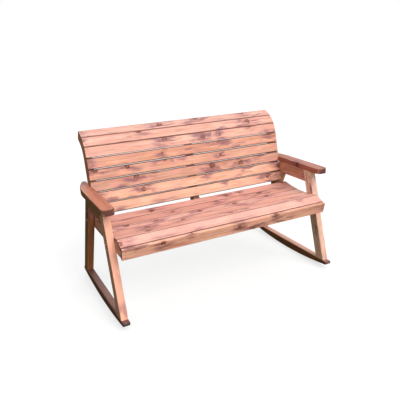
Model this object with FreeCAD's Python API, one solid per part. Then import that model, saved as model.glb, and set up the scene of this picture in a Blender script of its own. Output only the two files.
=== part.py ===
"""Rocking bench: a slatted timber seat and scroll back carried by two leg frames on curved rockers.

Millimetres. +X runs along the bench to the sitter's left, the seat faces -Y and +Z is up. The
origin lies on the ground under the middle of the bench. Every timber is its own solid, seated
on its neighbours, and the bolts sit in holes that are bored for them.
"""
import FreeCAD, Part
import math
import os

V = FreeCAD.Vector

# Boards of the seat, back and apron
SLAT_LENGTH = 1444.0
SLAT_WIDTH = 70.0
SLAT_THICKNESS = 20.0
SLAT_EDGE_RADIUS = 3.0

# Seat: the dish is the top of the boards, the nose board rolls over its front edge
DISH_RADIUS = 790.0
DISH_CENTRE_Y = -133.0
DISH_LOW_HEIGHT = 505.0
SEAT_REAR_Y = 62.0
DISH_SLAT_COUNT = 5
SEAT_GAP = 2.0
NOSE_DROP = 30.0
APRON_LEAN = 13.0
APRON_GAP = 2.0
APRON_RISE = 2.0

# Back: straight boards first, then boards that follow the scroll of the uprights
BACK_SETBACK = 51.0
BACK_LEAN = 13.5
BACK_DROP = 3.0
BACK_GAP = 3.0
STRAIGHT_SLAT_COUNT = 5
SCROLL_SLAT_COUNT = 3
SCROLL_RADIUS = 205.0
SCROLL_GAP = 2.0

# Square timbers of the frames
TIMBER_THICKNESS = 44.0
TIMBER_EDGE_RADIUS = 4.0
LEG_DEPTH = 70.0
FRONT_LEG_FOOT_Y = -388.0
FRONT_LEG_LEAN = 16.7
REAR_LEG_FOOT_Y = 331.0
REAR_LEG_LEAN = 23.4
RAIL_WAIST = 57.0
UPRIGHT_FOOT_DEPTH = 60.0
UPRIGHT_TOP_DEPTH = 40.0
UPRIGHT_TOP_ROUND = 14.0
UPRIGHT_TOP_SETBACK = 4.0
SLAT_END_CLEARANCE = 2.0

# Rockers
ROCKER_LENGTH = 844.0
ROCKER_DEPTH = 57.0
ROCKER_RADIUS = 2890.0
ROCKER_LOW_Y = 18.0
ROCKER_NOSE_ROUND = 12.0
ROCKER_NOSE_LIMIT = 0.52  # largest share of the thinner end's height that one rounded corner takes
ROCKER_ARRIS = 3.0

# Arms and the rails under them
ARM_HEIGHT = 705.0
ARM_THICKNESS = 36.0
ARM_FRONT_Y = -304.0
ARM_REAR_Y = 312.0
ARM_INNER_OVERHANG = 9.0
ARM_OUTER_OVERHANG = 26.0
ARM_SWEEP_START_Y = 95.0
ARM_SWEEP_RADIUS = 470.0
ARM_CORNER_ROUND = 28.0
ARM_REAR_ROUND = 11.0
ARM_TOP_EDGE_RADIUS = 6.0
ARM_NOTCH_CLEARANCE = 2.0
ARM_RAIL_DEPTH = 87.0

# Bolts through the legs and the timbers behind them
BOLT_RADIUS = 4.0
BOLT_HOLE_CLEARANCE = 0.25
BOLT_HEAD_HEIGHT = 5.3
BOLT_TAIL = 3.0
NUT_HEIGHT = 6.5
BOLT_ACROSS_FLATS = 13.0
FRONT_BOLT_SPACING = 30.0
REAR_BOLT_SPACING = 66.0

# Planes that several pieces share
FRAME_INNER_X = SLAT_LENGTH / 2 + SLAT_END_CLEARANCE
FRAME_OUTER_X = FRAME_INNER_X + TIMBER_THICKNESS
ARM_BOTTOM = ARM_HEIGHT - ARM_THICKNESS
RAIL_BOTTOM = DISH_LOW_HEIGHT - SLAT_THICKNESS - RAIL_WAIST
DISH_CENTRE = V(0, DISH_CENTRE_Y, DISH_LOW_HEIGHT + DISH_RADIUS)
DISH_STEP = 2 * math.atan((SLAT_WIDTH + SEAT_GAP) / 2 / DISH_RADIUS)
DISH_REAR_ANGLE = math.asin((SEAT_REAR_Y - DISH_CENTRE_Y) / DISH_RADIUS)
SCROLL_PITCH = SLAT_WIDTH + SCROLL_GAP
SCROLL_STEP = 2 * math.atan(SCROLL_PITCH / 2 / SCROLL_RADIUS)
MARGIN = 1.0


def across(angle):
    """Unit vector in the side view, turned up from +Y by an angle in radians."""
    return V(0, math.cos(angle), math.sin(angle))


def meet(point_a, along_a, point_b, along_b):
    """Point where two lines of the side view cross."""
    cross = along_a.y * along_b.z - along_a.z * along_b.y
    gap = point_b - point_a
    reach = (gap.y * along_b.z - gap.z * along_b.y) / cross
    return point_a + along_a * reach


def at_height(point, along, height):
    """Point of a side-view line at a height."""
    return point + along * ((height - point.z) / along.z)


def corner_arc(before, corner, after, radius):
    """Two tangent points and the middle of the arc that rounds one corner."""
    back = (before - corner).normalize()
    ahead = (after - corner).normalize()
    half = back.getAngle(ahead) / 2
    reach = radius / math.tan(half)
    bisector = (back + ahead).normalize()
    centre = corner + bisector * (radius / math.sin(half))
    return corner + back * reach, centre - bisector * radius, corner + ahead * reach


def outline_face(corners):
    """Face of a closed outline, given as (corner, rounding radius) pairs."""
    count = len(corners)
    edges = []
    stops = []
    for i, (corner, radius) in enumerate(corners):
        if radius > 0:
            start, middle, end = corner_arc(corners[i - 1][0], corner, corners[(i + 1) % count][0], radius)
            edges.append(Part.Arc(start, middle, end).toShape())
            stops.append((start, end))
        else:
            stops.append((corner, corner))
    for i in range(count):
        start, end = stops[i][1], stops[(i + 1) % count][0]
        if start.distanceToPoint(end) > 1e-6:
            edges.append(Part.LineSegment(start, end).toShape())
    return Part.Face(Part.Wire(Part.__sortEdges__(edges)))


def slab(face, start_x, width):
    """Solid of a side-view face, from start_x over a width along X."""
    moved = face.copy()
    moved.translate(V(start_x, 0, 0))
    return moved.extrude(V(width, 0, 0))


def rod(centre, axis, radius, length):
    """Plain round bar from a point along an axis."""
    return Part.makeCylinder(radius, length, centre, axis)


def hexagon(centre, axis, across_flats, height):
    """Hexagonal prism with its first face centred on a point."""
    radius = across_flats / math.sqrt(3)
    side = V(0, 1, 0) if abs(axis.y) < 0.5 else V(1, 0, 0)
    other = axis.cross(side)
    points = [centre + side * (radius * math.cos(math.pi * k / 3)) + other * (radius * math.sin(math.pi * k / 3))
              for k in range(6)]
    return Part.Face(Part.makePolygon(points + points[:1])).extrude(axis * height)


def mirrored(shape):
    """Left-hand copy of a right-hand piece."""
    return shape.mirror(V(0, 0, 0), V(1, 0, 0))


def with_edges_rounded(solid, radius, chosen):
    """Solid with the edges that pass a test rounded."""
    return solid.makeFillet(radius, [edge for edge in solid.Edges if chosen(edge)])


def lies_on_side(edge, low_x, high_x):
    """Whether an edge lies wholly in one of two planes square to X."""
    box = edge.BoundBox
    flat = box.XLength < 1e-6
    return flat and (abs(box.XMin - low_x) < 1e-6 or abs(box.XMin - high_x) < 1e-6)


# Seat boards

def dish_point(angle, radius):
    """Point at an angle from straight down on a circle about the dish's centre."""
    return DISH_CENTRE + V(0, math.sin(angle), -math.cos(angle)) * radius


def board_face(centre, along, front_bevel, rear_bevel):
    """Section of a board whose top face has its middle at centre.

    along points across the board towards its front edge. A bevel cuts the edge under, so that
    two boards can meet in a mitre on a convex corner.
    """
    inward = V(0, -along.z, along.y)
    if inward.z > 0:
        inward = inward * -1
    half = SLAT_WIDTH / 2
    front_foot = half - SLAT_THICKNESS * math.tan(front_bevel)
    rear_foot = half - SLAT_THICKNESS * math.tan(rear_bevel)
    return outline_face([
        (centre + along * half, SLAT_EDGE_RADIUS),
        (centre - along * half, SLAT_EDGE_RADIUS),
        (centre - along * rear_foot + inward * SLAT_THICKNESS, 0.0),
        (centre + along * front_foot + inward * SLAT_THICKNESS, 0.0),
    ])


def dish_slat_angle(index):
    """Angle of a seat board's middle on the dish, counted from the rear."""
    return DISH_REAR_ANGLE - (index + 0.5) * DISH_STEP


NOSE_ALONG = across(math.pi + math.radians(NOSE_DROP))
NOSE_START = dish_point(DISH_REAR_ANGLE - DISH_SLAT_COUNT * DISH_STEP, DISH_RADIUS / math.cos(DISH_STEP / 2))
NOSE_MIDDLE = NOSE_START + NOSE_ALONG * (SEAT_GAP / 2 + SLAT_WIDTH / 2)
NOSE_BEVEL = (math.radians(NOSE_DROP) - dish_slat_angle(DISH_SLAT_COUNT - 1)) / 2
NOSE_INWARD = across(-math.pi / 2 + math.radians(NOSE_DROP))
APRON_DOWN = across(-math.pi / 2 + math.radians(APRON_LEAN))
APRON_BACK = across(math.radians(APRON_LEAN))
APRON_REAR_TOP = (NOSE_MIDDLE + NOSE_ALONG * (SLAT_WIDTH / 2) - APRON_BACK * APRON_GAP - APRON_DOWN * APRON_RISE)


def seat_boards():
    """Seat boards from the rear to the nose board, then the apron."""
    faces = []
    for index in range(DISH_SLAT_COUNT):
        angle = dish_slat_angle(index)
        bevel = NOSE_BEVEL if index == DISH_SLAT_COUNT - 1 else 0.0
        along = V(0, -math.cos(angle), -math.sin(angle))
        faces.append(board_face(dish_point(angle, DISH_RADIUS), along, bevel, 0.0))
    faces.append(board_face(NOSE_MIDDLE, NOSE_ALONG, 0.0, NOSE_BEVEL))
    boards = {f"seat_slat_{i + 1}": slab(face, -SLAT_LENGTH / 2, SLAT_LENGTH) for i, face in enumerate(faces)}
    boards["apron"] = slab(apron_face(), -SLAT_LENGTH / 2, SLAT_LENGTH)
    return boards


def apron_face():
    """Section of the board under the nose, leaning back at its foot."""
    front = APRON_BACK * -SLAT_THICKNESS
    drop = APRON_DOWN * SLAT_WIDTH
    return outline_face([
        (APRON_REAR_TOP, 0.0),
        (APRON_REAR_TOP + front, SLAT_EDGE_RADIUS),
        (APRON_REAR_TOP + front + drop, SLAT_EDGE_RADIUS),
        (APRON_REAR_TOP + drop, 0.0),
    ])


# Back boards and uprights

BACK_UP = across(math.pi / 2 - math.radians(BACK_LEAN))
BACK_INWARD = across(-math.radians(BACK_LEAN))
BACK_FOOT = V(0, SEAT_REAR_Y + BACK_SETBACK, dish_point(DISH_REAR_ANGLE, DISH_RADIUS).z - BACK_DROP)
UPRIGHT_FACE_FOOT = BACK_FOOT + BACK_INWARD * SLAT_THICKNESS


def back_frames():
    """Face middle, upward direction and inward direction of each back board, from the bottom.

    The boards of the scroll are sides of a polygon round the scroll's circle. The first of them
    turns by half a step from the straight boards, and each later one by a whole step.
    """
    pitch = SLAT_WIDTH + BACK_GAP
    frames = [(BACK_FOOT + BACK_UP * (SLAT_WIDTH / 2 + index * pitch), BACK_UP, BACK_INWARD)
              for index in range(STRAIGHT_SLAT_COUNT)]
    joint = BACK_FOOT + BACK_UP * (STRAIGHT_SLAT_COUNT * pitch - BACK_GAP / 2)
    for index in range(SCROLL_SLAT_COUNT):
        lean = math.radians(BACK_LEAN) + (index + 0.5) * SCROLL_STEP
        up, inward = across(math.pi / 2 - lean), across(-lean)
        frames.append((joint + up * (SCROLL_PITCH / 2), up, inward))
        joint = joint + up * SCROLL_PITCH
    return frames


BACK_FRAMES = back_frames()
SCROLL_CENTRE = BACK_FRAMES[-1][0] + BACK_FRAMES[-1][2] * SCROLL_RADIUS
SCROLL_INNER_RADIUS = SCROLL_RADIUS - SLAT_THICKNESS - UPRIGHT_TOP_DEPTH


def back_boards():
    """Back boards from the lowest to the top of the scroll, mitred where they turn."""
    boards = {}
    last = len(BACK_FRAMES) - 1
    for index, (middle, up, inward) in enumerate(BACK_FRAMES):
        bevel = SCROLL_STEP / 2 if index >= STRAIGHT_SLAT_COUNT else 0.0
        section = board_face(middle, up, bevel if index < last else 0.0, bevel)
        boards[f"back_slat_{index + 1}"] = slab(section, -SLAT_LENGTH / 2, SLAT_LENGTH)
    return boards


def upright_rear_line():
    """Foot of an upright's rear face, and the direction in which it runs into the scroll's arc."""
    foot = at_height(UPRIGHT_FACE_FOOT, BACK_UP, RAIL_BOTTOM) + BACK_INWARD * UPRIGHT_FOOT_DEPTH
    reach = SCROLL_CENTRE - foot
    turn = math.asin(SCROLL_INNER_RADIUS / reach.Length)
    return foot, across(math.atan2(reach.z, reach.y) + turn)


def upright_end():
    """Front and rear corners of an upright's top end, square to the last board."""
    middle, up, inward = BACK_FRAMES[-1]
    rise = SLAT_WIDTH / 2 - UPRIGHT_TOP_SETBACK
    front = middle + inward * SLAT_THICKNESS + up * rise
    rear = SCROLL_CENTRE + up * rise - inward * math.sqrt(SCROLL_INNER_RADIUS ** 2 - rise ** 2)
    return front, rear


def upright_face():
    """Side view of a back upright: flats under the boards in front, one sweep behind."""
    flats = [(middle + inward * SLAT_THICKNESS, up)
             for middle, up, inward in BACK_FRAMES[STRAIGHT_SLAT_COUNT - 1:]]
    front = [at_height(UPRIGHT_FACE_FOOT, BACK_UP, RAIL_BOTTOM)]
    front += [meet(*low, *high) for low, high in zip(flats, flats[1:])]
    end_front, end_rear = upright_end()
    front += [end_front, end_rear]
    foot, rear_up = upright_rear_line()
    touch = foot + rear_up * ((SCROLL_CENTRE - foot).dot(rear_up))
    half_way = ((touch - SCROLL_CENTRE) + (end_rear - SCROLL_CENTRE)).normalize()
    base = at_height(foot, rear_up, RAIL_BOTTOM)
    edges = [Part.LineSegment(a, b).toShape() for a, b in zip(front, front[1:])]
    edges.append(Part.Arc(end_rear, SCROLL_CENTRE + half_way * SCROLL_INNER_RADIUS, touch).toShape())
    edges.append(Part.LineSegment(touch, base).toShape())
    edges.append(Part.LineSegment(base, front[0]).toShape())
    return Part.Face(Part.Wire(edges))


def upright_solid(start_x):
    """Whole upright before its lap is cut, with its rear top corner rounded."""
    solid = slab(upright_face(), start_x, TIMBER_THICKNESS)
    corner = upright_end()[1]

    def is_top_corner(edge):
        box = edge.BoundBox
        return box.XLength > MARGIN and abs(box.YMin - corner.y) < 0.01 and abs(box.ZMin - corner.z) < 0.01

    return with_edges_rounded(solid, UPRIGHT_TOP_ROUND, is_top_corner)


# Seat rails and their lap joints

def rail_face():
    """Side view of a seat rail: a flat under each board, and a square rear end in the upright."""
    under = (DISH_RADIUS + SLAT_THICKNESS) / math.cos(DISH_STEP / 2)
    top = [dish_point(DISH_REAR_ANGLE - k * DISH_STEP, under) for k in range(DISH_SLAT_COUNT)]
    last = dish_slat_angle(DISH_SLAT_COUNT - 1)
    last_along = V(0, math.cos(last), math.sin(last))
    nose_base = NOSE_START + NOSE_INWARD * SLAT_THICKNESS
    knee = meet(top[-1], last_along, nose_base, NOSE_ALONG)
    chin = meet(nose_base, NOSE_ALONG, APRON_REAR_TOP, APRON_DOWN)
    rear_foot, rear_up = upright_rear_line()
    corners = [at_height(rear_foot, rear_up, RAIL_BOTTOM), at_height(rear_foot, rear_up, top[0].z)]
    corners += top + [knee, chin, at_height(APRON_REAR_TOP, APRON_DOWN, RAIL_BOTTOM)]
    return outline_face([(corner, 0.0) for corner in corners])


def seat_unit(start_x, rail_side):
    """Seat rail and upright in one plane, halved into each other.

    rail_side is +1 where the rail keeps the half towards +X, and -1 for the other half.
    """
    rail = slab(rail_face(), start_x, TIMBER_THICKNESS)
    upright = upright_solid(start_x)
    lap = rail.common(upright)
    middle = start_x + TIMBER_THICKNESS / 2
    box = lap.BoundBox
    half = Part.makeBox(TIMBER_THICKNESS, box.YLength + 2 * MARGIN, box.ZLength + 2 * MARGIN,
                        V(middle, box.YMin - MARGIN, box.ZMin - MARGIN))
    low_side = lap.cut(half)
    high_side = lap.common(half)
    if rail_side > 0:
        return rail.cut(low_side), upright.cut(high_side)
    return rail.cut(high_side), upright.cut(low_side)


# Leg frames

def leg_line(foot_y, lean):
    """Foot and upward direction of a leg's front face."""
    return V(0, foot_y, ROCKER_DEPTH), across(math.pi / 2 - lean)


FRONT_LEG = leg_line(FRONT_LEG_FOOT_Y, math.radians(FRONT_LEG_LEAN))
REAR_LEG = leg_line(REAR_LEG_FOOT_Y, -math.radians(REAR_LEG_LEAN))


def leg_middle(leg, height):
    """Middle of a leg's depth at a height."""
    foot, up = leg
    return at_height(foot, up, height) + V(0, LEG_DEPTH / up.z / 2, 0)


def leg_solid(leg):
    """Leg with its long edges rounded, cut level on the rocker and under the arm."""
    foot, up = leg
    width = V(0, LEG_DEPTH / up.z, 0)
    head = at_height(foot, up, ARM_BOTTOM)
    face = outline_face([(point, 0.0) for point in (foot, head, head + width, foot + width)])
    solid = slab(face, FRAME_INNER_X, TIMBER_THICKNESS)

    def is_long_edge(edge):
        return lies_on_side(edge, FRAME_INNER_X, FRAME_OUTER_X) and edge.BoundBox.ZLength > LEG_DEPTH

    return with_edges_rounded(solid, TIMBER_EDGE_RADIUS, is_long_edge)


def rocker_end_height():
    """Height of the rocker's thinner end, from the arc up to the level top."""
    reach = ROCKER_LENGTH / 2 + abs(ROCKER_LOW_Y)
    return ROCKER_DEPTH - ROCKER_RADIUS + math.sqrt(ROCKER_RADIUS ** 2 - reach ** 2)


def rocker_solid():
    """Rocker: level on top, one long arc underneath, with rounded ends and edges."""
    block = Part.makeBox(TIMBER_THICKNESS, ROCKER_LENGTH, ROCKER_DEPTH, V(FRAME_INNER_X, -ROCKER_LENGTH / 2, 0))
    wheel_centre = V(FRAME_INNER_X - MARGIN, ROCKER_LOW_Y, ROCKER_RADIUS)
    wheel = rod(wheel_centre, V(1, 0, 0), ROCKER_RADIUS, TIMBER_THICKNESS + 2 * MARGIN)
    solid = block.common(wheel)

    def is_end_edge(edge):
        box = edge.BoundBox
        return box.XLength > MARGIN and abs(abs(box.YMin) - ROCKER_LENGTH / 2) < 0.01

    nose_round = min(ROCKER_NOSE_ROUND, ROCKER_NOSE_LIMIT * rocker_end_height())
    solid = with_edges_rounded(solid, nose_round, is_end_edge)
    rim = [edge for edge in solid.Edges if lies_on_side(edge, FRAME_INNER_X, FRAME_OUTER_X)]
    return solid.makeChamfer(ROCKER_ARRIS, rim)


def arm_rail_solid():
    """Rail under the arm, fitted between the two legs."""
    front_foot, front_up = FRONT_LEG
    rear_foot, rear_up = REAR_LEG
    behind = V(0, LEG_DEPTH / front_up.z, 0)
    low = ARM_BOTTOM - ARM_RAIL_DEPTH
    face = outline_face([
        (at_height(front_foot, front_up, low) + behind, 0.0),
        (at_height(front_foot, front_up, ARM_BOTTOM) + behind, 0.0),
        (at_height(rear_foot, rear_up, ARM_BOTTOM), 0.0),
        (at_height(rear_foot, rear_up, low), 0.0),
    ])
    solid = slab(face, FRAME_INNER_X, TIMBER_THICKNESS)

    def is_low_edge(edge):
        return lies_on_side(edge, FRAME_INNER_X, FRAME_OUTER_X) and edge.BoundBox.ZMax < low + MARGIN

    return with_edges_rounded(solid, TIMBER_EDGE_RADIUS, is_low_edge)


def arm_solid():
    """Arm board: level, swept in towards the rear and notched round the back."""
    inner_x = FRAME_INNER_X - ARM_INNER_OVERHANG
    outer_x = FRAME_OUTER_X + ARM_OUTER_OVERHANG
    notch_front = at_height(BACK_FOOT, BACK_UP, ARM_BOTTOM).y - ARM_NOTCH_CLEARANCE
    rear_foot, rear_up = upright_rear_line()
    notch_rear = at_height(rear_foot, rear_up, ARM_HEIGHT).y + ARM_NOTCH_CLEARANCE
    sweep = math.asin((ARM_REAR_Y - ARM_SWEEP_START_Y) / ARM_SWEEP_RADIUS)
    sweep_centre = V(outer_x - ARM_SWEEP_RADIUS, ARM_SWEEP_START_Y, ARM_BOTTOM)

    def swept(angle):
        return sweep_centre + V(math.cos(angle), math.sin(angle), 0) * ARM_SWEEP_RADIUS

    points = [swept(sweep)] + [V(x, y, ARM_BOTTOM) for x, y in (
        (inner_x, ARM_REAR_Y), (inner_x, notch_rear), (FRAME_INNER_X, notch_rear), (FRAME_INNER_X, notch_front),
        (inner_x, notch_front), (inner_x, ARM_FRONT_Y), (outer_x, ARM_FRONT_Y))] + [swept(0.0)]
    edges = [Part.LineSegment(a, b).toShape() for a, b in zip(points, points[1:])]
    edges.append(Part.Arc(swept(0.0), swept(sweep / 2), swept(sweep)).toShape())
    solid = Part.Face(Part.Wire(edges)).extrude(V(0, 0, ARM_THICKNESS))

    def is_upright_at(y_limit):
        return lambda edge: edge.BoundBox.ZLength > MARGIN and abs(edge.BoundBox.YMin - y_limit) < 0.01

    solid = with_edges_rounded(solid, ARM_CORNER_ROUND, is_upright_at(ARM_FRONT_Y))
    solid = with_edges_rounded(solid, ARM_REAR_ROUND, is_upright_at(ARM_REAR_Y))

    def is_open_rim(edge):
        box = edge.BoundBox
        level = box.ZLength < 1e-6 and abs(box.ZMin - ARM_HEIGHT) < 0.01
        in_notch = box.YMin > notch_front - 0.01 and box.YMax < notch_rear + 0.01 and box.XMax < FRAME_INNER_X + 0.01
        return level and not in_notch

    return with_edges_rounded(solid, ARM_TOP_EDGE_RADIUS, is_open_rim)


# Fasteners

def bolt_solid(place):
    """Hexagon-headed bolt from the outside of a leg to past the inside of the timber behind it."""
    face = V(FRAME_OUTER_X, place.y, place.z)
    length = 2 * TIMBER_THICKNESS + NUT_HEIGHT + BOLT_TAIL
    head = hexagon(face, V(1, 0, 0), BOLT_ACROSS_FLATS, BOLT_HEAD_HEIGHT)
    return head.fuse(rod(face, V(-1, 0, 0), BOLT_RADIUS, length)).removeSplitter()


def nut_solid(place):
    """Nut against the inside of the timber behind a leg."""
    face = V(FRAME_INNER_X - TIMBER_THICKNESS, place.y, place.z)
    return hexagon(face, V(-1, 0, 0), BOLT_ACROSS_FLATS, NUT_HEIGHT).cut(
        rod(face, V(-1, 0, 0), BOLT_RADIUS + BOLT_HOLE_CLEARANCE, NUT_HEIGHT))


def upright_middle(height):
    """Middle of an upright's depth at a height on its straight part."""
    rear_foot, rear_up = upright_rear_line()
    return (at_height(UPRIGHT_FACE_FOOT, BACK_UP, height) + at_height(rear_foot, rear_up, height)) * 0.5


def front_bolt_places():
    """Bolts through a front leg and its seat rail, along the leg's middle."""
    middle = leg_middle(FRONT_LEG, RAIL_BOTTOM + RAIL_WAIST / 2)
    step = FRONT_LEG[1] * (FRONT_BOLT_SPACING / 2)
    return [middle - step, middle + step]


def rear_bolt_places():
    """Bolts where a rear leg crosses the upright, and the lap joint below it."""
    crossing = meet(leg_middle(REAR_LEG, ARM_BOTTOM), REAR_LEG[1], upright_middle(ARM_BOTTOM), BACK_UP)
    heights = [crossing.z + share * REAR_BOLT_SPACING for share in (-0.7, 0.3)]
    return [(leg_middle(REAR_LEG, height) + upright_middle(height)) * 0.5 for height in heights]


def drilled(solid, places, start_x):
    """Timber with a bolt hole bored through it along X at each place."""
    for place in places:
        start = V(start_x, place.y, place.z)
        solid = solid.cut(rod(start, V(1, 0, 0), BOLT_RADIUS + BOLT_HOLE_CLEARANCE, TIMBER_THICKNESS))
    return solid


# Assembly

def side_timbers():
    """Right-hand timbers by name, with their holes."""
    start_x = FRAME_INNER_X - TIMBER_THICKNESS
    seat_rail, upright = seat_unit(start_x, 1)
    front_places, rear_places = front_bolt_places(), rear_bolt_places()
    return {
        "arm": arm_solid(),
        "arm_rail": arm_rail_solid(),
        "seat_rail": drilled(seat_rail, front_places + rear_places, start_x),
        "back_upright": drilled(upright, rear_places, start_x),
        "front_leg": drilled(leg_solid(FRONT_LEG), front_places, FRAME_INNER_X),
        "rear_leg": drilled(leg_solid(REAR_LEG), rear_places, FRAME_INNER_X),
        "rocker": rocker_solid(),
    }


def both_sides(solids):
    """Right-hand solids with their left-hand copies."""
    return solids + [mirrored(solid) for solid in solids]


def build():
    """All pieces by node name, the fasteners as groups of separate solids."""
    nodes = {}
    for name, solid in side_timbers().items():
        nodes[f"{name}_right"] = solid
        nodes[f"{name}_left"] = mirrored(solid)
    nodes["seat_rail_centre"], nodes["back_upright_centre"] = seat_unit(-TIMBER_THICKNESS / 2, 1)
    nodes.update(seat_boards())
    nodes.update(back_boards())
    bolt_places = front_bolt_places() + rear_bolt_places()
    groups = {
        "frame_bolts": [bolt_solid(place) for place in bolt_places],
        "bolt_nuts": [nut_solid(place) for place in bolt_places],
    }
    for name, solids in groups.items():
        nodes[name] = Part.makeCompound(both_sides(solids))
    return nodes


def main():
    """Write one STEP file per node."""
    os.makedirs("parts", exist_ok=True)
    nodes = build()
    for name, shape in nodes.items():
        shape.exportStep(f"parts/{name}.step")
    volume = sum(shape.Volume for shape in nodes.values())
    centre = sum((solid.CenterOfMass * solid.Volume for shape in nodes.values() for solid in shape.Solids), V())
    print(len(nodes), "nodes; centre of volume", [round(c / volume, 1) for c in centre])


main()
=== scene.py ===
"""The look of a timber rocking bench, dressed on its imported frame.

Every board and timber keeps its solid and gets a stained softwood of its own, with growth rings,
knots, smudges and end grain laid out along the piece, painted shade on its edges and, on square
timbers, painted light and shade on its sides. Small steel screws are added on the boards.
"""

import logging
import math
from dataclasses import dataclass, replace
from enum import Enum
from typing import Any, ClassVar, Sequence, Union

import bpy
import numpy as np
from mathutils import Matrix, Vector

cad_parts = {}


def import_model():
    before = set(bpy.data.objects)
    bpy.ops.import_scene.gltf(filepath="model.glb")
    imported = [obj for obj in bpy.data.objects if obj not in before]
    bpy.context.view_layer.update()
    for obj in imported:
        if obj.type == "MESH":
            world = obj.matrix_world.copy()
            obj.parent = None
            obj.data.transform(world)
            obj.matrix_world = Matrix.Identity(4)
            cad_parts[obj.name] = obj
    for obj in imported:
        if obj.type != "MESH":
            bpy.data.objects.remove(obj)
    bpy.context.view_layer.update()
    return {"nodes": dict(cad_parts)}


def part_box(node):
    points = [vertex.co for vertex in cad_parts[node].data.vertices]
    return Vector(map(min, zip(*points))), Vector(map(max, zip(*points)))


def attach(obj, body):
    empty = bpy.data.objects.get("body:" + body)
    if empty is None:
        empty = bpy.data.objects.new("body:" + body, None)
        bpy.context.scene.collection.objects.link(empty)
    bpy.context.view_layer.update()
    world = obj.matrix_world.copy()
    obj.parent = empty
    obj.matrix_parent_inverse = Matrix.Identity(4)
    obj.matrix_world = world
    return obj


LOG = logging.getLogger("bench")

Range = tuple[float, float]
Triple = tuple[float, float, float]
Colour = Triple
Node = bpy.types.Node
Socket = bpy.types.NodeSocket
SocketValue = Union[Socket, float, Triple]
Owner = Union[bpy.types.Material, bpy.types.World]

WHITE: Colour = (1.0, 1.0, 1.0)


class Timber(Enum):
    """How a piece of timber is cut, which sets the way its knots run."""

    BOARD = "board"
    SQUARE = "square"


class Output(Enum):
    """What a shader graph ends in."""

    MATERIAL = "ShaderNodeOutputMaterial"
    WORLD = "ShaderNodeOutputWorld"


def linear(red: int, green: int, blue: int) -> Colour:
    """Turns a screen colour of 0 to 255 into the linear colour that shaders use.

    Args:
        red: Red on the screen.
        green: Green on the screen.
        blue: Blue on the screen.

    Returns:
        The three linear channels, by the standard curve of screens.
    """
    def channel(level: int) -> float:
        """Returns one linear channel."""
        share = level / 255.0
        return share / 12.92 if share <= 0.04045 else ((share + 0.055) / 1.055) ** 2.4
    return channel(red), channel(green), channel(blue)


def shaded(colour: Colour, brightness: float, warmth: float) -> Colour:
    """Returns a colour made brighter by a factor and warmer by a small share."""
    red, green, blue = colour
    return red * brightness * (1 + warmth), green * brightness, blue * brightness * (1 - warmth)


# Grain directions, read from the solids

def mesh_rows(items: Any, attribute: str, width: int = 3) -> np.ndarray:
    """Reads one attribute of all the faces or corners of a mesh.

    Args:
        items: The mesh's faces or corners.
        attribute: Blender's name for the attribute.
        width: How many numbers it has.

    Returns:
        One row for each item.
    """
    values = np.empty(len(items) * width)
    items.foreach_get(attribute, values)
    return values.reshape(-1, width)


@dataclass(frozen=True)
class Grain:
    """A piece's own directions: along its grain, across its width and through its thickness."""

    FRONT_AND_UP: ClassVar[Triple] = (0.0, -1.0, 1.0)
    LEAST_FACING: ClassVar[float] = 0.5
    SAME_FACE: ClassVar[float] = 0.9999

    centre: Vector
    along: Vector
    across: Vector
    through: Vector
    half_width: float = 1.0
    half_length: float = 1.0

    @classmethod
    def of_board(cls, node: bpy.types.Object) -> "Grain":
        """Reads a seat or back board, whose grain runs along X and whose face looks at the sitter.

        Args:
            node: The board's solid.

        Returns:
            Its directions, with the centre in the middle of the face that the sitter touches.
        """
        faces = node.data.polygons
        normals, centres = mesh_rows(faces, "normal"), mesh_rows(faces, "center")
        areas = mesh_rows(faces, "area", 1).ravel()
        towards_sitter = normals @ np.array(cls.FRONT_AND_UP) > cls.LEAST_FACING
        largest = np.flatnonzero(towards_sitter)[np.argmax(areas[towards_sitter])]
        normal = normals[largest]
        face = (normals @ normal > cls.SAME_FACE) & towards_sitter
        middle = np.average(centres[face], axis=0, weights=areas[face])
        middle[0] = 0.0
        through = Vector(normal).normalized()
        along = Vector((1.0, 0.0, 0.0))
        across = through.cross(along)
        reach = (mesh_rows(node.data.vertices, "co") - middle) @ np.array(across)
        return cls(Vector(middle), along, across, through, half_width=float(np.ptp(reach)) / 2)

    @classmethod
    def of_timber(cls, node: bpy.types.Object, lean: float) -> "Grain":
        """Reads a timber that lies in a plane square to X.

        Args:
            node: The timber's solid.
            lean: Angle of its grain up from +Y, in radians.

        Returns:
            Its directions, centred in its box.
        """
        low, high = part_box(node.name)
        along = Vector((0.0, math.cos(lean), math.sin(lean)))
        through = Vector((1.0, 0.0, 0.0))
        return cls((low + high) / 2, along, through.cross(along), through)

    @classmethod
    def of_arm(cls, node: bpy.types.Object) -> "Grain":
        """Reads a level board whose grain runs along Y."""
        low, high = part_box(node.name)
        along, through = Vector((0.0, 1.0, 0.0)), Vector((0.0, 0.0, 1.0))
        half_length = (high.y - low.y) / 2
        return cls((low + high) / 2, along, through.cross(along), through, half_length=half_length)

    def turn(self) -> Matrix:
        """Returns the turn that carries these directions onto X, Y and Z."""
        return Matrix((self.along, self.across, self.through))

    def point(self, along: float, across: float) -> Vector:
        """Returns the place on the face at two distances from its centre, in metres."""
        return self.centre + self.along * along + self.across * across


# Shader graphs

@dataclass(frozen=True)
class Step:
    """A smooth step: as a value goes from low to high, the result goes from start to end."""

    low: float
    high: float
    start: float = 0.0
    end: float = 1.0

    def between(self, start: float, end: float) -> "Step":
        """Returns this step with other results."""
        return replace(self, start=start, end=end)


@dataclass(frozen=True)
class Pattern:
    """A cloudy pattern, with its patches to the metre along, across and through the grain."""

    per_metre: Triple
    detail: float = 2.0
    roughness: float = 0.5
    distortion: float = 0.0


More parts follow.
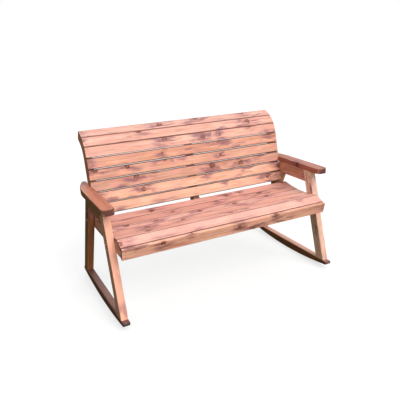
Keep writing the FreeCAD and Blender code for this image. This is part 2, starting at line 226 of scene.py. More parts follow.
class Graph:
    """The node tree of a material or a world, with short calls for the nodes used here."""

    def __init__(self, owner: Owner) -> None:
        """Starts an empty tree for a new material or world."""
        owner.use_nodes = True
        self.owner = owner
        self.nodes, self.links = owner.node_tree.nodes, owner.node_tree.links
        self.nodes.clear()

    def feed(self, socket: Socket, value: SocketValue) -> None:
        """Links a socket to another, or sets its own value."""
        if isinstance(value, Socket):
            self.links.new(value, socket)
        elif socket.type == "RGBA":
            socket.default_value = (*value, 1.0)
        else:
            socket.default_value = value

    def add(self, kind: str, inputs: dict[Union[str, int], SocketValue] | None = None,
            **settings: Any) -> Node:
        """Adds a node.

        Args:
            kind: Blender's name for the node type.
            inputs: Values or sockets by input name or number.
            settings: The node's own options.

        Returns:
            The node.
        """
        node = self.nodes.new(kind)
        for key, value in settings.items():
            setattr(node, key, value)
        for key, value in (inputs or {}).items():
            self.feed(node.inputs[key], value)
        return node

    def math(self, operation: str, *values: SocketValue, clamp: bool = False) -> Socket:
        """Returns the result of one sum on numbers."""
        inputs = dict(enumerate(values))
        return self.add("ShaderNodeMath", inputs, operation=operation, use_clamp=clamp).outputs[0]

    def times(self, first: SocketValue, second: SocketValue) -> Socket:
        """Returns the product of two numbers."""
        return self.math("MULTIPLY", first, second)

    def larger(self, first: SocketValue, second: SocketValue) -> Socket:
        """Returns the larger of two numbers."""
        return self.math("MAXIMUM", first, second)

    def vector(self, operation: str, *values: SocketValue) -> Socket:
        """Returns the vector result of one sum on vectors."""
        inputs = dict(enumerate(values))
        return self.add("ShaderNodeVectorMath", inputs, operation=operation).outputs[0]

    def length(self, value: SocketValue) -> Socket:
        """Returns a vector's length."""
        return self.add("ShaderNodeVectorMath", {0: value}, operation="LENGTH").outputs["Value"]

    def scaled(self, value: SocketValue, scale: Triple) -> Socket:
        """Returns a vector times a fixed scale for each direction."""
        return self.vector("MULTIPLY", value, scale)

    def split(self, value: SocketValue) -> tuple[Socket, ...]:
        """Returns the three parts of a vector."""
        return tuple(self.add("ShaderNodeSeparateXYZ", {0: value}).outputs)

    def pattern(self, place: SocketValue, pattern: Pattern) -> Node:
        """Returns the node of a cloudy pattern, read at a place."""
        return self.add("ShaderNodeTexNoise", {
            "Vector": self.scaled(place, pattern.per_metre), "Scale": 1.0,
            "Detail": pattern.detail, "Roughness": pattern.roughness,
            "Distortion": pattern.distortion})

    def ramp(self, value: SocketValue, step: Step) -> Socket:
        """Returns a value carried over a smooth step."""
        inputs = {"Value": value, "From Min": step.low, "From Max": step.high,
                  "To Min": step.start, "To Max": step.end}
        node = self.add("ShaderNodeMapRange", inputs, interpolation_type="SMOOTHSTEP")
        return node.outputs["Result"]

    def mix(self, share: SocketValue, first: SocketValue, second: SocketValue,
            blend: str = "MIX") -> Socket:
        """Returns two colours mixed by a share."""
        node = self.add("ShaderNodeMix", data_type="RGBA", blend_type=blend)
        self.feed(node.inputs["Factor"], share)
        self.feed(node.inputs[6], first)
        self.feed(node.inputs[7], second)
        return node.outputs[2]

    def finish(self, shader: Node, output: Output = Output.MATERIAL) -> Owner:
        """Joins the shader to the output and returns the material or world."""
        self.add(output.value, {"Surface": shader.outputs[0]})
        return self.owner


# Finishes

@dataclass(frozen=True)
class Figure:
    """How the marks of the softwood lie, the same in every finish.

    The steps of a knot run on the distance from it, as a share of its radius. The steps of a
    face run on how squarely it looks one way.
    """

    # Where a piece lies in the tree
    shift: Range = (2.0, 40.0)
    pith_across: Range = (-0.022, 0.022)
    pith_deeper: Range = (0.6, 1.6)

    # Shapes of the knots
    shake: Pattern = Pattern((48.0, 75.0, 75.0), detail=2.5)
    shake_across: float = 0.7
    cell_scatter: float = 0.78
    knot_stretch: float = 0.78
    rare_large: float = 1.2
    least_radius: float = 0.0001
    core: Step = Step(1.08, 0.86)
    rim: Step = Step(0.72, 0.95)
    halo: Step = Step(3.4, 0.9)
    near: Step = Step(7.0, 1.0)

    # Growth rings
    slow: Pattern = Pattern((2.3, 9.0, 9.0), detail=2.5, roughness=0.45)
    fine: Pattern = Pattern((9.0, 120.0, 120.0), detail=3.0)
    fine_wander: float = 0.0016
    knot_push: float = 1.5
    late_rise: Step = Step(0.15, 0.82)
    late_fall: Step = Step(1.0, 0.90)

    # Streaks, broad patches, blushes and smudges
    streaks: Pattern = Pattern((1.6, 46.0, 46.0), detail=3.0, roughness=0.6)
    streak: Step = Step(0.34, 0.68)
    broads: Pattern = Pattern((3.1, 6.0, 6.0))
    broad: Step = Step(0.35, 0.70)
    broad_contrast: float = 0.22
    blushes: Pattern = Pattern((7.0, 20.0, 20.0), detail=3.0, distortion=0.4)
    blush: Step = Step(0.44, 0.66)
    clouds: Pattern = Pattern((9.0, 44.0, 44.0), detail=3.0, distortion=0.5)
    smudge: Step = Step(0.38, 0.62)
    smudge_near: float = 0.86
    smudge_far: float = 0.14

    # Colours of the knots
    halo_share: float = 0.42
    swirls: float = 15.0
    swirl: Step = Step(-1.0, 1.0, 0.0, 0.25)
    flecks: Pattern = Pattern((95.0, 120.0, 120.0), detail=1.5)
    heart_fleck: Step = Step(0.47, 0.60)
    heart: Step = Step(0.95, 0.45, 0.25, 0.85)
    rim_fleck: Step = Step(0.64, 0.42, 0.35, 1.0)
    core_share: float = 0.96

    # Painted side light and shade, ends, painted edge shade, and corners of wear and painted
    # highlight
    # Where the painted light and shade of a square timber's sides falls, by how squarely a face
    # looks through it
    painted_side_light: Step = Step(0.80, 0.95)
    # A darker band along the rear end of an arm's top
    rear_band_blur: float = 0.008
    rear_band_share: float = 0.9
    end_share: float = 0.68
    end_late: float = 0.22
    arris: Step = Step(0.99, 0.86)
    # Painted edge shade: on the narrow faces, in a band along the edges, and its streaks
    edge: Step = Step(0.80, 0.97)
    edge_shade_band_share: float = 0.97
    edge_shade_streak: float = 0.75
    # Lighter rounded corners: partly wear, partly painted highlight
    wear_and_highlight: Step = Step(0.52, 0.70)

    # Relief and gloss
    fibres: Pattern = Pattern((26.0, 900.0, 900.0))
    fibre_relief: float = 0.5
    late_relief: float = 0.35
    rim_relief: float = -0.6
    relief_depth: float = 0.0006
    late_gloss: float = -0.3
    specular: float = 0.32


@dataclass(frozen=True)
class StainedSoftwood:
    """Softwood with a warm stain.

    Lengths are in metres and colours are linear. A share runs from 0, for none, to 1. The painted
    side light is what the colour of a square timber's sides is multiplied by: painted shade where
    it is below 1 and painted light where it is above 1. The rear band is a darker band along the
    rear end of an arm's top.
    """

    pale: Colour
    deep: Colour
    knot: Colour = linear(84, 40, 44)
    knot_rim: Colour = linear(38, 16, 26)
    smudge: Colour = linear(124, 76, 98)
    blush: Colour = linear(230, 154, 142)
    end: Colour = linear(104, 62, 58)
    # Painted shade on edges and narrow faces, standing in for the shadow in the gaps
    edge: Colour = linear(88, 46, 34)
    # Lighter rounded corners: partly wear, partly painted highlight
    wear_and_highlight: Colour = linear(255, 220, 198)
    # Multiplies a square timber's sides: painted shade below 1, painted light above 1
    painted_side_light: Colour = WHITE

    ring_spacing: float = 0.0042
    ring_wander: float = 0.022
    ring_contrast: float = 0.34
    streak_contrast: float = 0.34
    pith_depth: float = 0.045

    knot_cell: Range = (0.27, 0.095)
    knot_small: float = 0.0068
    knot_large: float = 0.020
    knot_share: float = 0.68
    knot_shake: float = 0.034

    blush_share: float = 0.42
    smudge_share: float = 0.95
    # Share, width, blur and shift of the painted edge shade
    edge_shade_share: float = 0.0
    edge_shade_band: float = 0.0050
    edge_shade_blur: float = 0.0016
    edge_shade_shift: float = 0.0
    # Share of wear and painted highlight on the rounded corners
    wear_and_highlight_share: float = 0.35
    end_facing: Range = (0.75, 0.92)
    # Width of the darker band along the rear end of an arm's top
    rear_band: float = 0.0
    tone_spread: float = 0.06
    warmth_spread: float = 0.035
    roughness: Range = (0.42, 0.62)
    relief: float = 0.35

    def material(self, name: str, grain: Grain, cut: Timber, seed: int) -> bpy.types.Material:
        """Builds the wood of one piece.

        Args:
            name: Name of the material.
            grain: The piece's own directions.
            cut: How the piece is cut.
            seed: Fixes what differs from piece to piece.

        Returns:
            The material.
        """
        return WoodShader(name, self, grain, cut, Luck.draw(seed)).material()


@dataclass(frozen=True)
class Luck:
    """What differs by chance from piece to piece."""

    shift: float
    pith_across: float
    pith_deeper: float
    tone: float
    warmth: float

    @classmethod
    def draw(cls, seed: int) -> "Luck":
        """Draws the luck of one piece. The order of the draws fixes how every piece looks."""
        rng, figure = np.random.default_rng(seed), Figure()
        return cls(float(rng.uniform(*figure.shift)), float(rng.uniform(*figure.pith_across)),
                   float(rng.uniform(*figure.pith_deeper)), float(rng.normal()),
                   float(rng.normal()))


@dataclass(frozen=True)
class Knots:
    """Where the knots are, as sockets.

    The share is the distance from the nearest knot over its radius, and the chance is a random
    number of that knot. The core, its rim, the halo and the near wood are steps on the share.
    """

    share: Socket
    radius: Socket
    chance: Socket
    core: Socket
    rim: Socket
    halo: Socket
    near: Socket


class WoodShader:
    """The wood of one piece, built up mark by mark in one graph.

    Growth rings are cylinders round a pith line that runs along the grain under the face. Their
    distance is shifted by a slow pattern and pushed outwards near each knot, so that the lines
    wander along the board and swirl round the knots.
    """

    def __init__(self, name: str, finish: StainedSoftwood, grain: Grain, cut: Timber,
                 luck: Luck) -> None:
        """Starts the graph and lays out the marks that colour and relief share.

        Args:
            name: Name of the material.
            finish: Colours and shares of the wood.
            grain: The piece's own directions.
            cut: How the piece is cut.
            luck: What differs from piece to piece.
        """
        self.graph = graph = Graph(bpy.data.materials.new(name))
        self.finish, self.grain, self.cut, self.luck = finish, grain, cut, luck
        self.figure = figure = Figure()
        self.place, facing = self._turned()
        self.face_along, self.face_across, self.face_through = graph.split(facing)
        along, self.across, self.through = graph.split(self.place)
        self.along = graph.math("SUBTRACT", along, luck.shift)
        self.knots = self._knots()
        self.late = self._late_wood()
        self.streak = graph.ramp(self._level(figure.streaks), figure.streak)
        self.cloud = self._level(figure.clouds)
        pale, deep = finish.pale, finish.deep
        tone, warmth = 1 + finish.tone_spread * luck.tone, finish.warmth_spread * luck.warmth
        self.pale, self.deep = shaded(pale, tone, warmth), shaded(deep, tone, warmth)

    def _level(self, pattern: Pattern) -> Socket:
        """Returns how high a pattern is at each place."""
        return self.graph.pattern(self.place, pattern).outputs["Fac"]

    def _turned(self) -> tuple[Socket, Socket]:
        """Returns the place and how squarely the face looks, in the piece's own directions."""
        graph, turn = self.graph, self.grain.turn()
        rotation = tuple(turn.to_euler("XYZ"))
        shift = Vector((self.luck.shift, 0.0, 0.0))
        read = graph.add("ShaderNodeTexCoord").outputs
        place = graph.add("ShaderNodeMapping", {
            "Vector": read["Object"], "Location": tuple(shift - turn @ self.grain.centre),
            "Rotation": rotation}, vector_type="POINT")
        facing = graph.add("ShaderNodeMapping", {
            "Vector": read["Normal"], "Rotation": rotation}, vector_type="NORMAL")
        return place.outputs[0], graph.vector("ABSOLUTE", facing.outputs[0])

    def _knots(self) -> Knots:
        """Scatters knots, one to a cell of a stretched cell pattern.

        Boards get knots that run straight through them. A cell that by chance has no knot gets
        a radius of nought.

        Returns:
            Where the knots are.
        """
        graph, finish, figure = self.graph, self.finish, self.figure
        board = self.cut is Timber.BOARD
        shake = graph.pattern(self.place, figure.shake).outputs["Color"]
        shake = graph.vector("SUBTRACT", shake, (0.5, 0.5, 0.5))
        shake_across = finish.knot_shake * figure.shake_across
        amount = (finish.knot_shake, shake_across, shake_across)
        shaken = graph.vector("MULTIPLY_ADD", shake, amount, self.place)
        along, across = finish.knot_cell
        cells = graph.add("ShaderNodeTexVoronoi", {
            "Vector": graph.scaled(shaken, (1 / along, 1 / across, 1 / across)), "Scale": 1.0,
            "Randomness": figure.cell_scatter},
            voronoi_dimensions="2D" if board else "3D", feature="F1").outputs
        middle = graph.scaled(cells["Position"], (along, across, across))
        away = graph.scaled(graph.vector("SUBTRACT", shaken, middle),
                            (figure.knot_stretch, 1.0, 0.0 if board else 1.0))
        chances = graph.add("ShaderNodeSeparateColor", {0: cells["Color"]}).outputs
        size = graph.math("POWER", chances[0], figure.rare_large)
        radius = graph.math("MULTIPLY_ADD", size, finish.knot_large - finish.knot_small,
                            finish.knot_small)
        radius = graph.times(radius, graph.math("LESS_THAN", chances[1], finish.knot_share))
        least = graph.math("ADD", radius, figure.least_radius)
        share = graph.math("DIVIDE", graph.length(away), least)
        core = graph.ramp(share, figure.core)
        return Knots(share, radius, chances[2], core,
                     rim=graph.times(graph.ramp(share, figure.rim), core),
                     halo=graph.ramp(share, figure.halo), near=graph.ramp(share, figure.near))

    def _late_wood(self) -> Socket:
        """Returns the late wood, which darkens slowly through each growth ring and ends fast."""
        graph, finish, figure = self.graph, self.finish, self.figure
        across = graph.math("ADD", self.across, self.luck.pith_across)
        depth = finish.pith_depth * self.luck.pith_deeper
        through = graph.math("ADD", self.through, depth)
        square = graph.math("ADD", graph.times(across, across), graph.times(through, through))
        radial = graph.math("SQRT", square)
        radial = graph.math("MULTIPLY_ADD", self._level(figure.slow), finish.ring_wander, radial)
        push = graph.times(self.knots.halo, graph.times(self.knots.radius, figure.knot_push))
        radial = graph.math("ADD", radial, push)
        radial = graph.math("MULTIPLY_ADD", self._level(figure.fine), figure.fine_wander, radial)
        cycle = graph.math("FRACT", graph.math("DIVIDE", radial, finish.ring_spacing))
        return graph.times(graph.ramp(cycle, figure.late_rise), graph.ramp(cycle, figure.late_fall))

    def _stain(self) -> Socket:
        """Returns the colour of the plain wood, with its rings, streaks, blushes and smudges."""
        graph, finish, figure = self.graph, self.finish, self.figure
        share = graph.times(self.late, finish.ring_contrast)
        share = graph.math("MULTIPLY_ADD", self.streak, finish.streak_contrast, share)
        broad = graph.ramp(self._level(figure.broads), figure.broad)
        share = graph.math("MULTIPLY_ADD", broad, figure.broad_contrast, share, clamp=True)
        colour = graph.mix(share, self.pale, self.deep)
        blush = figure.blush.between(0.0, finish.blush_share)
        colour = graph.mix(graph.ramp(self._level(figure.blushes), blush), colour, finish.blush)
        smudged = graph.times(graph.ramp(self.cloud, figure.smudge), finish.smudge_share)
        reach = graph.math("MULTIPLY_ADD", self.knots.near, figure.smudge_near, figure.smudge_far)
        return graph.mix(graph.times(smudged, reach), colour, finish.smudge)

    def _knotted(self, colour: Socket) -> Socket:
        """Returns the colour with the knots: a dark rim, a swirled core and a halo round it."""
        graph, finish, figure, knots = self.graph, self.finish, self.figure, self.knots
        colour = graph.mix(graph.times(knots.halo, figure.halo_share), colour, finish.deep)
        swirl = graph.math("MULTIPLY_ADD", knots.share, figure.swirls, knots.chance)
        swirl = graph.ramp(graph.math("SINE", swirl), figure.swirl)
        inner = graph.mix(swirl, finish.knot, self.deep)
        fleck = self._level(figure.flecks)
        heart = graph.times(graph.ramp(fleck, figure.heart_fleck),
                            graph.ramp(knots.share, figure.heart))
        inner = graph.mix(heart, inner, self.deep)
        rim = graph.times(knots.rim, graph.ramp(fleck, figure.rim_fleck))
        inner = graph.mix(rim, inner, finish.knot_rim)
        return graph.mix(graph.times(knots.core, figure.core_share), colour, inner)

    def _with_painted_side_light(self, colour: Socket) -> Socket:
        """Returns the colour with painted light and shade on the sides of a square timber."""
        graph = self.graph
        side = graph.mix(1.0, colour, self.finish.painted_side_light, "MULTIPLY")
        return graph.mix(graph.ramp(self.face_through, self.figure.painted_side_light), colour, side)

    def _ended(self, colour: Socket) -> Socket:
        """Returns the colour with darker end grain, which soaks up more of the stain, and a darker
        band.

        The ends show on the faces that look along the grain; the darker band lies along the rear
        end of an arm's top.
        """
        graph, finish, figure = self.graph, self.finish, self.figure
        end_face = graph.ramp(self.face_along, Step(*finish.end_facing))
        rear_band_start = self.grain.half_length - finish.rear_band
        rear_band_step = Step(rear_band_start, rear_band_start + figure.rear_band_blur, 0.0, figure.rear_band_share)
        end_face = graph.larger(end_face, graph.ramp(self.along, rear_band_step))
        share = graph.math("MULTIPLY_ADD", self.late, figure.end_late, figure.end_share)
        return graph.mix(graph.times(end_face, share), colour, finish.end)

    def _with_edge_shade_and_highlight(self, colour: Socket) -> Socket:
        """Returns the colour with painted edge shade and lighter corners, partly wear and partly
        painted highlight.

        The painted edge shade is the largest of three: on the rounded corners, on the narrow faces,
        and in a band of the broad face along both edges, standing in for the shadow in the gaps. A
        shift moves that band across the board.
        """
        graph, finish, figure = self.graph, self.finish, self.figure
        squarest = graph.larger(self.face_along, graph.larger(self.face_across, self.face_through))
        arris = graph.ramp(squarest, figure.arris)
        painted_edge_shade = graph.larger(arris, graph.ramp(self.face_across, figure.edge))
        off_middle = graph.math("ABSOLUTE", graph.math("SUBTRACT", self.across, finish.edge_shade_shift))
        start = self.grain.half_width - finish.edge_shade_band
        band = Step(start, start + finish.edge_shade_blur, 0.0, figure.edge_shade_band_share)
        painted_edge_shade = graph.larger(painted_edge_shade, graph.ramp(off_middle, band))
        streaked = Step(0.0, 1.0, finish.edge_shade_share, finish.edge_shade_share * figure.edge_shade_streak)
        painted_edge_shade = graph.times(painted_edge_shade, graph.ramp(self.streak, streaked))
        # Mixes in the painted edge shade
        colour = graph.mix(painted_edge_shade, colour, finish.edge)
        # Lighter rounded corners: partly wear, partly painted highlight
        wear_and_highlight = graph.ramp(self.cloud, figure.wear_and_highlight.between(0.0, finish.wear_and_highlight_share))
        return graph.mix(graph.times(arris, wear_and_highlight), colour, finish.wear_and_highlight)

    def _surface(self, colour: Socket) -> Node:
        """Returns the shader, with raised late wood, fine fibres and sunken knot rims.

        Streaks make the wood duller, and late wood glossier.
        """
        graph, figure = self.graph, self.figure
        height = graph.times(self._level(figure.fibres), figure.fibre_relief)
        height = graph.math("MULTIPLY_ADD", self.late, figure.late_relief, height)
        height = graph.math("MULTIPLY_ADD", self.knots.rim, figure.rim_relief, height)
        bump = graph.add("ShaderNodeBump", {
            "Strength": self.finish.relief, "Distance": figure.relief_depth, "Height": height})
        gloss = graph.math("MULTIPLY_ADD", self.late, figure.late_gloss, self.streak)
        roughness = graph.ramp(gloss, Step(figure.late_gloss, 1.0, *self.finish.roughness))
        return graph.add("ShaderNodeBsdfPrincipled", {
            "Base Color": colour, "Roughness": roughness, "Normal": bump.outputs[0],
            "Specular IOR Level": figure.specular})

    def material(self) -> bpy.types.Material:
        """Lays the colours over each other, adds the surface and returns the material."""
        colour = self._knotted(self._stain())
        if self.cut is Timber.SQUARE:
            # Painted light and shade on the sides of square timbers
            colour = self._with_painted_side_light(colour)
        # End grain, then painted edge shade and corners of wear and painted highlight
        colour = self._with_edge_shade_and_highlight(self._ended(colour))
        return self.graph.finish(self._surface(colour))


@dataclass(frozen=True)
class PlatedSteel:
    """Steel with a dull zinc plating, stained a little by the wood round it."""

    bright: Colour = linear(206, 150, 122)
    dull: Colour = linear(160, 104, 82)
    patches: Pattern = Pattern((250.0, 250.0, 250.0), detail=3.0)
    dulled: Step = Step(0.35, 0.68)
    roughness: Step = Step(0.3, 0.7, 0.34, 0.55)
    relief: float = 0.2
    relief_depth: float = 0.0002
    metallic: float = 0.4

    def material(self, name: str) -> bpy.types.Material:
        """Builds the steel, patchy in colour and roughness. Returns the material."""
        graph = Graph(bpy.data.materials.new(name))
        place = graph.add("ShaderNodeTexCoord").outputs["Object"]
        patch = graph.pattern(place, self.patches).outputs["Fac"]
        bump = graph.add("ShaderNodeBump", {
            "Strength": self.relief, "Distance": self.relief_depth, "Height": patch})
        return graph.finish(graph.add("ShaderNodeBsdfPrincipled", {
            "Base Color": graph.mix(graph.ramp(patch, self.dulled), self.bright, self.dull),
            "Roughness": graph.ramp(patch, self.roughness), "Normal": bump.outputs[0],
            "Metallic": self.metallic}))


LEG_KNOTS: Range = (0.19, 0.11)
RAIL_KNOTS: Range = (0.22, 0.12)
ARM_KNOTS: Range = (0.24, 0.09)
ROUNDED_END: Range = (0.20, 0.55)

# The edge shade of the boards is painted shade in the gaps between them and on the nose's front
# edge
SEAT_WOOD = StainedSoftwood(
    pale=linear(250, 192, 176), deep=linear(208, 140, 124), edge_shade_share=0.70, edge_shade_band=0.0030,
    smudge_share=0.80)
# Darker copy of the seat wood for the two rear boards: painted shade from the back and arms
REAR_SEAT_WOOD_IN_PAINTED_SHADE = StainedSoftwood(
    pale=linear(227, 167, 149), deep=linear(184, 118, 100), edge_shade_share=0.75, edge_shade_band=0.0034,
    smudge_share=0.85)
NOSE_WOOD = StainedSoftwood(
    pale=linear(247, 190, 173), deep=linear(208, 140, 124), edge=linear(80, 36, 26),
    edge_shade_share=0.97, edge_shade_band=0.0036, edge_shade_shift=0.0048, wear_and_highlight_share=0.0, smudge_share=0.65)
APRON_WOOD = StainedSoftwood(
    pale=linear(250, 190, 162), deep=linear(188, 118, 92), knot=linear(64, 30, 36),
    smudge=linear(100, 58, 76), knot_share=0.85, smudge_share=0.92)
# Lighter copy of the back wood for the two lowest boards: painted light reflected from the seat
LOW_BACK_WOOD_IN_PAINTED_LIGHT = StainedSoftwood(
    pale=linear(250, 198, 172), deep=linear(210, 144, 114), edge=linear(70, 38, 24),
    edge_shade_share=0.97, edge_shade_band=0.0058, blush_share=0.35, tone_spread=0.03, warmth_spread=0.02)
BACK_WOOD = StainedSoftwood(
    pale=linear(231, 171, 144), deep=linear(184, 118, 89), edge=linear(70, 38, 24),
    edge_shade_share=0.97, edge_shade_band=0.0064, warmth_spread=0.045)
SCROLL_WOOD = StainedSoftwood(
    pale=linear(239, 184, 164), deep=linear(193, 129, 109), edge=linear(104, 58, 46),
    edge_shade_share=0.80, edge_shade_band=0.0046, tone_spread=0.05, warmth_spread=0.03)

# Painted side light in these finishes: painted shade on the sides of the left front leg, rear left
# leg, rockers and left arm rail; painted light on the right front leg's side
LEFT_LEG_WOOD = StainedSoftwood(
    pale=linear(255, 194, 168), deep=linear(222, 148, 122), knot_cell=LEG_KNOTS,
    blush_share=0.35, smudge_share=0.60, painted_side_light=(0.50, 0.54, 0.48))
RIGHT_LEG_WOOD = StainedSoftwood(
    pale=linear(255, 212, 190), deep=linear(222, 162, 140), knot_cell=LEG_KNOTS,
    painted_side_light=(1.0, 1.12, 1.08))
# Darker copy of the rear leg wood: painted shade cast by the seat and back
REAR_LEFT_LEG_WOOD_IN_PAINTED_SHADE = StainedSoftwood(
    pale=linear(188, 122, 72), deep=linear(134, 76, 36), knot_cell=LEG_KNOTS, blush_share=0.15,
    painted_side_light=(0.40, 0.39, 0.30))
REAR_RIGHT_LEG_WOOD = StainedSoftwood(
    pale=linear(230, 168, 134), deep=linear(176, 110, 80), knot_cell=LEG_KNOTS)
# Darker copy of the rocker wood: painted shade cast by the seat and frame
LEFT_ROCKER_WOOD_IN_PAINTED_SHADE = StainedSoftwood(
    pale=linear(142, 92, 76), deep=linear(100, 56, 46), knot_cell=LEG_KNOTS,
    end=linear(52, 30, 34), end_facing=ROUNDED_END, painted_side_light=(0.50, 0.46, 0.36), wear_and_highlight_share=0.10,
    blush_share=0.0, smudge_share=0.5)
RIGHT_ROCKER_WOOD = StainedSoftwood(
    pale=linear(238, 178, 146), deep=linear(186, 118, 88), knot_cell=LEG_KNOTS,
    end=linear(58, 34, 34), end_facing=ROUNDED_END, painted_side_light=(0.30, 0.24, 0.14), wear_and_highlight_share=0.10)

RAIL_WOOD = StainedSoftwood(
    pale=linear(216, 160, 132), deep=linear(160, 104, 80), knot_cell=RAIL_KNOTS)
# Darker copy of the rail wood: painted shade under the left arm
LEFT_ARM_RAIL_WOOD_IN_PAINTED_SHADE = StainedSoftwood(
    pale=linear(168, 112, 78), deep=linear(120, 72, 46), knot_cell=RAIL_KNOTS,
    painted_side_light=(0.62, 0.60, 0.50))
UPRIGHT_WOOD = StainedSoftwood(
    pale=linear(190, 134, 96), deep=linear(126, 78, 48), knot_cell=RAIL_KNOTS)
# The left arm's edge shade is painted shade along its edges
LEFT_ARM_WOOD = StainedSoftwood(
    pale=linear(195, 121, 90), deep=linear(153, 83, 59), knot_cell=ARM_KNOTS,
    end=linear(66, 38, 44), edge=linear(78, 52, 36), edge_shade_share=0.85, rear_band=0.030,
    wear_and_highlight_share=0.15, blush_share=0.08)
RIGHT_ARM_WOOD = StainedSoftwood(
    pale=linear(167, 103, 80), deep=linear(129, 72, 54), knot_cell=ARM_KNOTS,
    end=linear(84, 50, 62), rear_band=0.022, blush_share=0.10)

STEEL = PlatedSteel()


def coat(piece: bpy.types.Object, material: bpy.types.Material) -> None:
    """Gives a piece one material on every face."""
    piece.data.materials.clear()
    piece.data.materials.append(material)


def show(piece: bpy.types.Object) -> None:
    """Puts a new object in the scene."""
    bpy.context.scene.collection.objects.link(piece)


# New pieces

@dataclass(frozen=True)
class ScrewHead:
    """Raised countersunk screw head with a cross recess; lengths in metres."""

    radius: float = 0.0037
    rise: float = 0.0008
    sunk: float = 0.0004
    dome_fall: float = 0.75
    rim_rise: float = 0.4
    shoulder: float = 0.93
    brow: float = 0.72
    recess_reach: float = 0.0021
    recess_width: float = 0.0007
    recess_floor: float = 0.0002
    lip: float = 1.06
    lip_drop: float = 0.0001
    recess_foot: float = 0.9
    recess_middle: float = 0.02
    least_sine: float = 1e-6
    sides: int = 24

    def dome(self, reach: np.ndarray) -> np.ndarray:
        """Returns the height of the dome, which falls with the square of the distance out."""
        return self.rise * (1 - self.dome_fall * (reach / self.radius) ** 2)

    def cross(self, turn: np.ndarray) -> np.ndarray:
        """Returns how far the cross recess reaches in each direction.

        It is the smaller of the arm's length and the arm's width over the sine of the turn from
        the nearest arm.
        """
        quarter = np.pi / 2
        from_arm = np.abs((turn + quarter / 2) % quarter - quarter / 2)
        width = self.recess_width / np.maximum(np.sin(from_arm), self.least_sine)
        return np.minimum(self.recess_reach, width)

    def surface(self) -> tuple[np.ndarray, np.ndarray]:
        """Computes one head on the plane z = 0.

        Rings of points run inwards, from below the wood over the shallow dome to the recess. The
        innermost rings follow the cross, down to its floor.

        Returns:
            The points, and the faces as rows of four point numbers.
        """
        turn = np.arange(self.sides) * 2 * np.pi / self.sides
        full, cross = np.full(self.sides, self.radius), self.cross(turn)
        floor = np.full(self.sides, self.recess_floor)
        rings = [
            (full, np.full(self.sides, -self.sunk)),
            (full, self.dome(full) * self.rim_rise),
            (full * self.shoulder, self.dome(full * self.shoulder)),
            (full * self.brow, self.dome(full * self.brow)),
            (cross * self.lip, self.dome(cross)),
            (cross, self.dome(cross) - self.lip_drop),
            (cross * self.recess_foot, floor),
            (cross * self.recess_middle, floor),
        ]
        points = np.concatenate([
            np.stack([reach * np.cos(turn), reach * np.sin(turn), height], axis=1)
            for reach, height in rings])
        ring, side = np.meshgrid(np.arange(len(rings) - 1), np.arange(self.sides), indexing="ij")
        outer, side = ring.ravel() * self.sides, side.ravel()
        inner, after = outer + self.sides, (side + 1) % self.sides
        return points, np.stack([outer + side, outer + after, inner + after, inner + side], axis=1)


@dataclass(frozen=True)
class BoardScrews:
    """Screw heads, two on each rail, on every board of one part of the bench."""

    name: str
    seed: int
    rails: Triple = (-0.702, 0.0, 0.702)
    spread: float = 0.019
    jitter: float = 0.0012
    head: ScrewHead = ScrewHead()

    def build(self, grains: Sequence[Grain]) -> bpy.types.Object:
        """Copies the head onto each place, turned at random, as one mesh.

        Args:
            grains: The directions of the boards.

        Returns:
            The mesh object.
        """
        rng = np.random.default_rng(self.seed)
        points, faces = self.head.surface()
        all_points, all_faces = [], []
        for grain in grains:
            axes = np.array((grain.along, grain.across, grain.through))
            for rail in self.rails:
                for side in (-1.0, 1.0):
                    angle = rng.uniform(0, np.pi)
                    cos, sin = np.cos(angle), np.sin(angle)
                    turn = np.array(((cos, sin, 0), (-sin, cos, 0), (0, 0, 1)))
                    along, across = rng.uniform(-self.jitter, self.jitter, 2)
                    place = np.array(grain.point(rail + along, side * self.spread + across))
                    all_faces.append(faces + len(points) * len(all_points))
                    all_points.append(points @ turn @ axes + place)
        mesh = bpy.data.meshes.new(self.name)
        mesh.from_pydata(np.concatenate(all_points).tolist(), [],
                         np.concatenate(all_faces).tolist())
        mesh.shade_smooth()
        mesh.update()
        screws = bpy.data.objects.new(self.name, mesh)
        show(screws)
        return screws


# Sub-assemblies

@dataclass(frozen=True)
class Boards:
    """The boards of the seat, the apron or the back."""

    prefix: str
    finishes: tuple[StainedSoftwood, ...]
    screws: BoardScrews
    seed: int

    def names(self) -> list[str]:
        """Returns the node names of the boards, one for each finish."""
        if len(self.finishes) == 1:
            return [self.prefix]
        return [f"{self.prefix}_{index + 1}" for index in range(len(self.finishes))]

    def dress(self, nodes: dict[str, bpy.types.Object], steel: bpy.types.Material) -> None:
        """Gives each board its own wood and adds the screws.

        Args:
            nodes: The solids by name.
            steel: The material of the screws.
        """
        grains = []
        for seed, (name, finish) in enumerate(zip(self.names(), self.finishes), self.seed):
            grain = Grain.of_board(nodes[name])
            coat(nodes[name], finish.material(f"wood_{name}", grain, Timber.BOARD, seed))
            grains.append(grain)
        screws = self.screws.build(grains)
        coat(screws, steel)
        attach(screws, "root")
        LOG.info("%s: %d boards, %d screw faces", self.prefix, len(grains),
                 len(screws.data.polygons))


